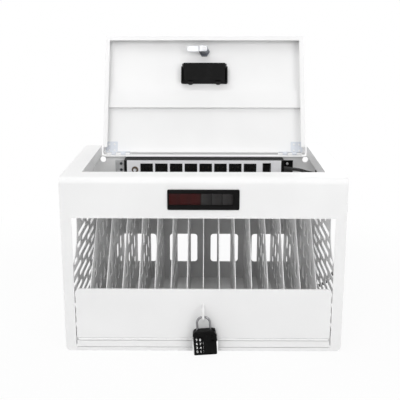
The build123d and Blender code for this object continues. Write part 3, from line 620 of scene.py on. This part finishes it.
def dial_digits(number, paint, radius=12.6 * MM, height=5 * MM, lift=0.06 * MM, places=10):
    """The ten numerals round one dial, wrapped on its rim between the notches."""
    turn = joint(f"dial_{number}_turn")
    up = Vector(turn["axis"]).normalized()
    low, high = span(f"padlock_dial_{number}")
    origin = Vector(turn["pos_m"])
    centre = origin + up * ((low + high) * 0.5 - origin).dot(up)
    place = frame_matrix(centre, up, Vector((1, 0, 0)))
    first = -math.pi / 2 + math.radians(9)
    stretch = 1.15
    shift = (7 * number + 3) % places
    made = bmesh.new()
    for digit in range(places):
        text = bpy.data.curves.new("digit", "FONT")
        text.body = str((digit + shift) % places)
        text.size = height * 1.45
        text.align_x = "CENTER"
        text.align_y = "CENTER"
        text.extrude = 0.05 * MM
        text.offset = 0.12 * MM
        text.resolution_u = 3
        holder = bpy.data.objects.new("digit", text)
        bpy.context.scene.collection.objects.link(holder)
        graph = bpy.context.evaluated_depsgraph_get()
        mesh = bpy.data.meshes.new_from_object(holder.evaluated_get(graph))
        angle = first + digit * 2 * math.pi / places
        start = len(made.verts)
        made.from_mesh(mesh)
        made.verts.ensure_lookup_table()
        for vertex in made.verts[start:]:
            around = angle + vertex.co.x * stretch / radius
            out = radius + lift + vertex.co.z
            vertex.co = place @ Vector((out * math.cos(around), out * math.sin(around), vertex.co.y))
        bpy.data.objects.remove(holder)
    return mesh_from(f"dial_numbers_{number}", made, paint)


class CABINET_OT_indicator(bpy.types.Operator):
    """The indicator's bezel, window and cells"""

    bl_idname = "cabinet.indicator"
    bl_label = "Indicator"

    def execute(self, context):
        colours = settings("cabinet_colours")
        black = list(colours.black)
        give("indicator_bezel", moulded_plastic("black_bezel", black, 0.35))
        give("indicator_housing", moulded_plastic("black_abs", black, 0.45))
        give("indicator_window", smoked_acrylic("smoked_window", [0.015, 0.012, 0.012]))
        gap = 1 * MM
        cells = 3
        for node, finish, colour in (("indicator_lenses_red", "red_lens", colours.red),
                                     ("indicator_lenses_clear", "clear_lens", colours.grey)):
            low, high = span(node)
            give(node, lens_plastic(finish, list(colour), low.x - gap / 2, (high.x - low.x + gap) / cells))
        return {"FINISHED"}


class CABINET_OT_power(bpy.types.Operator):
    """The power strip with its contacts, switch frame and end plates, and the lid's pull cup"""

    bl_idname = "cabinet.power"
    bl_label = "Power strip"

    def execute(self, context):
        black = list(settings("cabinet_colours").black)
        enamel = moulded_plastic("black_housing", black, 0.4, 0.0009, 0.00004)
        give("power_strip_housing", enamel)
        give("power_strip_brackets", enamel)
        give("power_strip_face", powder_coat("strip_face", [0.74, 0.74, 0.76], 0.0008))
        nylon = moulded_plastic("black_outlet", black, 0.32)
        give("outlets", nylon)
        give("rocker_switch", nylon)
        give("lid_handle_cup", moulded_plastic("cup_abs", black, 0.42, 0.0009, 0.0001))
        self.contacts()
        self.switch(nylon)
        self.ears(enamel)
        self.cup(black)
        return {"FINISHED"}

    def contacts(self, rows=2, columns=8, pitch=36.8 * MM, first=16.75 * MM):
        """The sprung contacts deep in every outlet."""
        brass = plated_metal("brass_contact", [0.07, 0.058, 0.04], 0.35, (1, 1, 4))
        low, high = span("outlets")
        spread = 6.3 * MM
        rise = 3.5 * MM
        y = low.y + 7.5 * MM
        blades = []
        for row in range(rows):
            for count in range(columns):
                x = low.x + first + pitch * count
                z = high.z - first - pitch * row
                blades += [(x + side * spread, y, z + rise) for side in (-1, 1)]
        fork = [slab(-0.95, -0.55, -1, 1.6, -3.7, 3.7), slab(0.55, 0.95, -1, 1.6, -3.7, 3.7),
                slab(-0.95, 0.95, 1.2, 1.6, -3.7, 3.7)]
        leaf = joined("contact_leaf", fork, brass, 0.08 * MM)
        scattered("outlet_contacts", blades, leaf, (0, 0, 0), brass, "cabinet", "bright_steel")

    def switch(self, nylon):
        """The rocker's frame and the reset button's collar."""
        front = span("power_strip_housing")[0].y / MM
        low, high = span("rocker_switch")
        x, _, z = (low + high) / 2 / MM
        bars = frame_slabs(x, z, 10, 17, 1.9, 1.4, front - 1.4, front + 0.5)
        attach(joined("switch_frame", bars, nylon, 0.3 * MM), "cabinet", "black_outlet")
        low, high = span("breaker_button")
        centre = (low + high) / 2
        centre.y = span("power_strip_face")[0].y + 4 * MM
        brown = moulded_plastic("collar_brown", [0.09, 0.065, 0.045], 0.35)
        profile = [(8.2, 0), (8.2, 2.2), (7.4, 3.6), (6.8, 4.7), (4.9, 4.7), (4.15, 4.3), (4.15, 0)]
        place = frame_matrix(centre, (0, -1, 0))
        ring = turned_ring("button_collar", in_metres(profile), 24, place, brown)
        attach(ring, "cabinet", "zinc_plate")

    def ears(self, enamel, reach=27, sheet=1.5, lip=20, radius=3.6 * MM):
        """The bent end plates that hold the strip to the rear panel, and their cross-head screws."""
        pale = plated_metal("ear_zinc", [0.6, 0.6, 0.61], 0.4, (4, 1, 1))
        dark = plated_metal("screw_dark", [0.09, 0.1, 0.11], 0.35, (4, 1, 4))
        # The right ear's screws get a bright metal where the left ones are dark: a painted glint on the
        # right-hand heads
        bright = plated_metal("screw_painted_glint", [0.6, 0.6, 0.6], 0.3, (4, 1, 4))
        low, high = span("power_strip_brackets")
        back = high.y / MM
        base, top = low.z / MM, high.z / MM
        end = span("power_strip_housing")[1].x / MM
        first, last = span("power_strip_screws")
        for side, plate, screw, name in ((-1, pale, dark, "left"), (1, enamel, bright, "right")):
            edge = side * end
            parts = [slab(edge, edge + side * reach, back - sheet, back, base, top),
                     slab(edge, edge + side * sheet, back - lip, back - 1.2, base, base + lip)]
            ear = joined(f"strip_ear_{name}", parts, plate, 0.5 * MM)
            attach(ear, "cabinet", "black_housing", "power_strip_brackets")
            x = side * (last.x - radius)
            spots = [(x, last.y, last.z - radius), (x, last.y, first.z + radius)]
            head = pan_head("ear_screw_head", radius, 2.4 * MM, screw)
            scattered(f"ear_screws_{name}", spots, head, FORWARDS, screw, "cabinet", "bright_steel",
                      "power_strip_screws")

    def cup(self, black):
        """The snap wings on the sides of the flush cup, and the two clips at its lower edge."""
        wing_black = moulded_plastic("cup_wing_abs", black, 0.42, 0.0009, 0.0001)
        rim = 386.4
        wings = []
        for side in (-1, 1):
            wings.append(slab(side * 57, side * 60.5, -47, -5, 371, rim, with_lid))
            wings.append(slab(side * 30, side * 42, -6, -2.6, 368, rim, with_lid))
        attach(joined("cup_wings", wings, wing_black, 0.8 * MM), "lid", "black_abs")


def closed_shell(rings):
    """Vertices and faces of a skin over rings of points, with the last ring joined to the first."""
    count = len(rings[0])
    faces = []
    for level in range(len(rings)):
        above = (level + 1) % len(rings)
        for i in range(count):
            after = (i + 1) % count
            faces.append((level * count + i, level * count + after, above * count + after, above * count + i))
    return [point for ring in rings for point in ring], faces


def turned_ring(name, profile, sides, place, material):
    """A turned ring: a closed profile of (radius, height) pairs about local Z."""
    rings = []
    for side in range(sides):
        angle = 2 * math.pi * side / sides
        rings.append([place @ Vector((r * math.cos(angle), r * math.sin(angle), h)) for r, h in profile])
    return joined(name, [closed_shell(rings)], material)


class CABINET_OT_cord(bpy.types.Operator):
    """The supply cord, from its strain relief through the side panel to its coil and plug"""

    bl_idname = "cabinet.cord"
    bl_label = "Supply cord"

    route = [(221, 158, 333), (236, 158, 333), (256, 157, 326.5), (280, 156, 322), (306, 157, 314),
             (333, 160, 296), (347, 163, 260), (348, 166, 208), (349, 168, 150), (348, 172, 97),
             (343, 178, 52), (324, 186, 18), (294, 192, 4), (264, 194, 4)]
    coil_centre = (215, 250)
    coil_turning = 10
    coil_tail = 36

    def coil(self, sizes, steps=4):
        """The coil's centre line: in along the table, up where it reverses, and out again."""
        last = 2 * self.coil_turning + 1
        points = []
        for count in range(last * steps + 1):
            quarter = count / steps
            angle = -math.pi / 2 - quarter * math.pi / 2
            inward = min(quarter, 2 * self.coil_turning - quarter) / 4
            climb = min(max((quarter - self.coil_turning + 1) / 2, 0), 1)
            reach = sizes.coil_radius - sizes.coil_step * inward
            points.append(Vector((self.coil_centre[0] * MM + reach * math.cos(angle),
                                  self.coil_centre[1] * MM + reach * math.sin(angle),
                                  sizes.radius + sizes.coil_step * (1 - math.cos(math.pi * climb)) / 2)))
        return points

    def execute(self, context):
        sizes = settings("cabinet_cord")
        jacket = rubber_jacket("cord_jacket", [0.015, 0.015, 0.015])
        soft = rubber_jacket("black_rubber", [0.018, 0.018, 0.018])
        give("cord_grommet", soft)
        relief = self.strain_relief(soft)
        plug = self.plug(soft)
        points = [Vector(p) * MM for p in self.route] + self.coil(sizes)
        half_tail = Vector((0, self.coil_tail * MM / 2, 0))
        points += [points[-1] + half_tail, points[-1] + half_tail * 2]
        curve = bpy.data.curves.new("supply_cord_line", "CURVE")
        curve.dimensions = "3D"
        spline = curve.splines.new("NURBS")
        spline.points.add(len(points) - 1)
        for point, place in zip(spline.points, points):
            point.co = (*place, 1)
        spline.order_u = 3
        spline.use_endpoint_u = True
        spline.resolution_u = 6
        curve.bevel_depth = sizes.radius
        curve.bevel_resolution = 5
        curve.use_fill_caps = True
        cord = bpy.data.objects.new("supply_lead", curve)
        context.scene.collection.objects.link(cord)
        curve.materials.append(jacket)
        attach(cord, "cabinet", "cord_jacket", "supply_cord", "cord_coil")
        tie = self.tie(sizes)
        return {"FINISHED"}

    def strain_relief(self, soft, ribs=5, start=9, flange=8, taper=2.6, groove=1.3):
        """A tapered relief with ribs and the gaps between them."""
        low, high = span("cord_gland")
        centre = (low + high) / 2
        place = frame_matrix((low.x, centre.y, centre.z), (1, 0, 0))
        length = (high.x - low.x) / MM
        step = (length - start - 1) / ribs
        profile = [(5.2, 0), (5.2, 6), (flange, 6), (flange, start)]
        for rib in range(ribs):
            ground = start + rib * step
            outer = flange - taper * (rib + 0.5) / ribs
            profile += [(outer - groove, ground + 0.3), (outer - groove, ground + step * 0.38),
                        (outer, ground + step * 0.5), (outer, ground + step * 0.92)]
        profile += [(4.7, length - 0.6), (4.3, length)]
        made = ring_solid("cord_relief", in_metres(profile), 28, place, soft)
        return attach(made, "cabinet", "black_rubber", "cord_gland")

    def plug(self, soft, sides=40, roundness=0.55, ribs=5):
        """The moulded plug: a rounded grip with finger ribs that widens to the face."""
        low, high = span("plug_body")
        middle = (low + high) / 2
        half = (high - low) / 2
        stations = [(0, 0.36, 0.46), (0.03, 0.42, 0.54), (0.1, 0.46, 0.6)]
        for rib in range(ribs):
            start = 0.12 + rib * 0.1
            swell = 0.5 + 0.32 * rib / (ribs - 1)
            stations += [(start, swell - 0.05, swell + 0.08), (start + 0.02, swell, swell + 0.13),
                         (start + 0.06, swell, swell + 0.13), (start + 0.08, swell - 0.05, swell + 0.08)]
        stations += [(0.64, 0.88, 0.95), (0.72, 0.97, 1), (0.95, 1, 1), (0.985, 0.98, 0.98), (1, 0.93, 0.93)]
        rings = []
        for along, across, upright in stations:
            ring = []
            for side in range(sides):
                angle = 2 * math.pi * side / sides
                x, z = (math.copysign(abs(v) ** roundness, v) for v in (math.cos(angle), math.sin(angle)))
                ring.append(Vector((middle.x + half.x * across * x, low.y + 2 * half.y * along,
                                    middle.z + half.z * upright * z)))
            rings.append(ring)
        return attach(lofted("plug_moulding", rings, soft), "cabinet", "black_rubber", "plug_body")

    def tie(self, sizes, half_width=9, clearance=1.2 * MM, corner=3 * MM, thickness=0.9 * MM):
        """A hook-and-loop strap round the turns on the coil's far left side."""
        strap = rubber_jacket("tie_fabric", [0.03, 0.03, 0.032])
        inner = sizes.coil_radius - sizes.coil_step * 2.5 - sizes.radius - clearance
        outer = sizes.coil_radius + sizes.radius + clearance
        middle = (inner + outer) / 2
        top = 2 * sizes.radius + sizes.coil_step + clearance
        x, y = (value * MM for value in self.coil_centre)
        outline = []
        for cx, cz, start in ((outer - corner, top - corner, 0), (inner + corner, top - corner, 90),
                              (inner + corner, corner, 180), (outer - corner, corner, 270)):
            for step in range(5):
                angle = math.radians(start + step * 22.5)
                outline.append((cx + corner * math.cos(angle), cz + corner * math.sin(angle)))
        rings = []
        for inwards, shift in ((0, -half_width), (0, half_width), (1, half_width), (1, -half_width)):
            ring = []
            for reach, height in outline:
                shrink = 1 - inwards * thickness / max(abs(reach - middle), corner)
                ring.append(Vector((x - middle - (reach - middle) * shrink, y + shift * MM,
                                    top / 2 + (height - top / 2) * (1 - inwards * 0.11))))
            rings.append(ring)
        return attach(joined("coil_tie", [closed_shell(rings)], strap), "cabinet", "black_rubber")


class CABINET_OT_stage(bpy.types.Operator):
    """Camera, floor and light"""

    bl_idname = "cabinet.stage"
    bl_label = "Stage"

    def lamp(self, name, place, target, size, power):
        light = bpy.data.lights.new(name, "AREA")
        light.shape = "RECTANGLE"
        light.size, light.size_y = size
        light.energy = power
        made = bpy.data.objects.new(name, light)
        made.location = place
        made.rotation_euler = (Vector(target) - Vector(place)).to_track_quat("-Z", "Y").to_euler()
        bpy.context.scene.collection.objects.link(made)

    def execute(self, context):
        sizes = settings("cabinet_stage")
        scene = context.scene
        camera = bpy.data.cameras.new("camera")
        camera.lens = sizes.lens
        camera.sensor_width = 36
        camera.clip_end = 50
        eye = bpy.data.objects.new("camera", camera)
        eye.location = (sizes.across, span("outer_frame")[0].y - sizes.distance, sizes.rise)
        eye.rotation_euler = (math.pi / 2 - sizes.pitch, 0, sizes.yaw)
        scene.collection.objects.link(eye)
        scene.camera = eye
        self.floor()
        self.world(scene)
        middle = (0, 0, 0.25)
        self.lamp("key", (-0.9, -2.8, 2.0), middle, (2.0, 1.6), 28)
        self.lamp("fill", (1.9, -2.4, 1.5), middle, (1.6, 1.6), 27)
        self.lamp("top", (-0.7, -0.3, 2.75), middle, (2.4, 2.2), 27)
        self.lamp("back", (0.5, 2.6, 1.7), middle, (1.8, 1.6), 16)
        scene.view_settings.view_transform = "Standard"
        return {"FINISHED"}

    def world(self, scene, soft=0.42):
        """A plain studio: white where the camera, gloss or glass sees it, and soft light elsewhere."""
        world = bpy.data.worlds.new("studio")
        scene.world = world
        world.use_nodes = True
        nodes, links = world.node_tree.nodes, world.node_tree.links
        shown = nodes["Background"]
        lit = nodes.new("ShaderNodeBackground")
        for background, strength in ((shown, 1.0), (lit, soft)):
            background.inputs["Color"].default_value = (1, 1, 1, 1)
            background.inputs["Strength"].default_value = strength
        path = nodes.new("ShaderNodeLightPath")
        seen = path.outputs["Is Camera Ray"]
        for ray in ("Is Glossy Ray", "Is Transmission Ray"):
            either = nodes.new("ShaderNodeMath")
            either.operation = "MAXIMUM"
            links.new(seen, either.inputs[0])
            links.new(path.outputs[ray], either.inputs[1])
            seen = either.outputs[0]
        blend = nodes.new("ShaderNodeMixShader")
        links.new(seen, blend.inputs[0])
        links.new(lit.outputs[0], blend.inputs[1])
        links.new(shown.outputs[0], blend.inputs[2])
        links.new(blend.outputs[0], nodes["World Output"].inputs["Surface"])

    def floor(self, half=6, drop=0.0002):
        """A white floor: white to the camera away from the cabinet, and a little shaded near it."""
        g = Graph("floor_white")
        seen = g.add("ShaderNodeLightPath", {}, {}, "Is Camera Ray")
        reach = g.add("ShaderNodeVectorMath", {"operation": "LENGTH"}, {0: g.place}, "Value")
        far = reach.smooth(0.55, 1.1)
        paint = g.noise(0.4, 2.0)
        g.finish(Base_Color=g.mix(paint, (0.8, 0.8, 0.8, 1), (0.84, 0.84, 0.84, 1)), Roughness=0.8,
                 Specular_IOR_Level=0.1)
        white = g.add("ShaderNodeEmission", {}, {"Color": (1, 1, 1, 1), "Strength": 1.0})
        share = g.add("ShaderNodeMixShader", {}, {0: seen * (0.92 + 0.08 * far)})
        node = share.socket.node
        g.links.new(g.shader.outputs[0], node.inputs[1])
        g.links.new(white.socket, node.inputs[2])
        g.links.new(node.outputs[0], g.nodes["Material Output"].inputs["Surface"])
        corners = [(-half, -half, -drop), (half, -half, -drop), (half, half, -drop), (-half, half, -drop)]
        mesh_object("floor", corners, [(0, 1, 2, 3)], g.material)


class CABINET_PT_parts(bpy.types.Panel):
    """Buttons for the cabinet's parts"""

    bl_label = "Charging cabinet"
    bl_space_type = "VIEW_3D"
    bl_region_type = "UI"
    bl_category = "Cabinet"

    def draw(self, context):
        for operator in OPERATORS:
            self.layout.operator(operator.bl_idname)
        for group, kind in GROUPS.items():
            for name in kind.__annotations__:
                self.layout.prop(settings(group), name)


OPERATORS = [CABINET_OT_stage, CABINET_OT_cord, CABINET_OT_sheet, CABINET_OT_metal, CABINET_OT_padlock,
             CABINET_OT_indicator, CABINET_OT_power]
GROUPS = {"cabinet_colours": FinishColours, "cabinet_cord": CordSizes, "cabinet_stage": StageSizes}


def register():
    for kind in [*GROUPS.values(), *OPERATORS, CABINET_PT_parts]:
        bpy.utils.register_class(kind)
    for name, kind in GROUPS.items():
        setattr(bpy.types.Scene, name, bpy.props.PointerProperty(type=kind))


def unregister():
    for name in GROUPS:
        delattr(bpy.types.Scene, name)
    for kind in reversed([*GROUPS.values(), *OPERATORS, CABINET_PT_parts]):
        bpy.utils.unregister_class(kind)


def main():
    register()
    for operator in OPERATORS:
        group, name = operator.bl_idname.split(".")
        getattr(getattr(bpy.ops, group), name)()


if __name__ == "__main__":
    main()
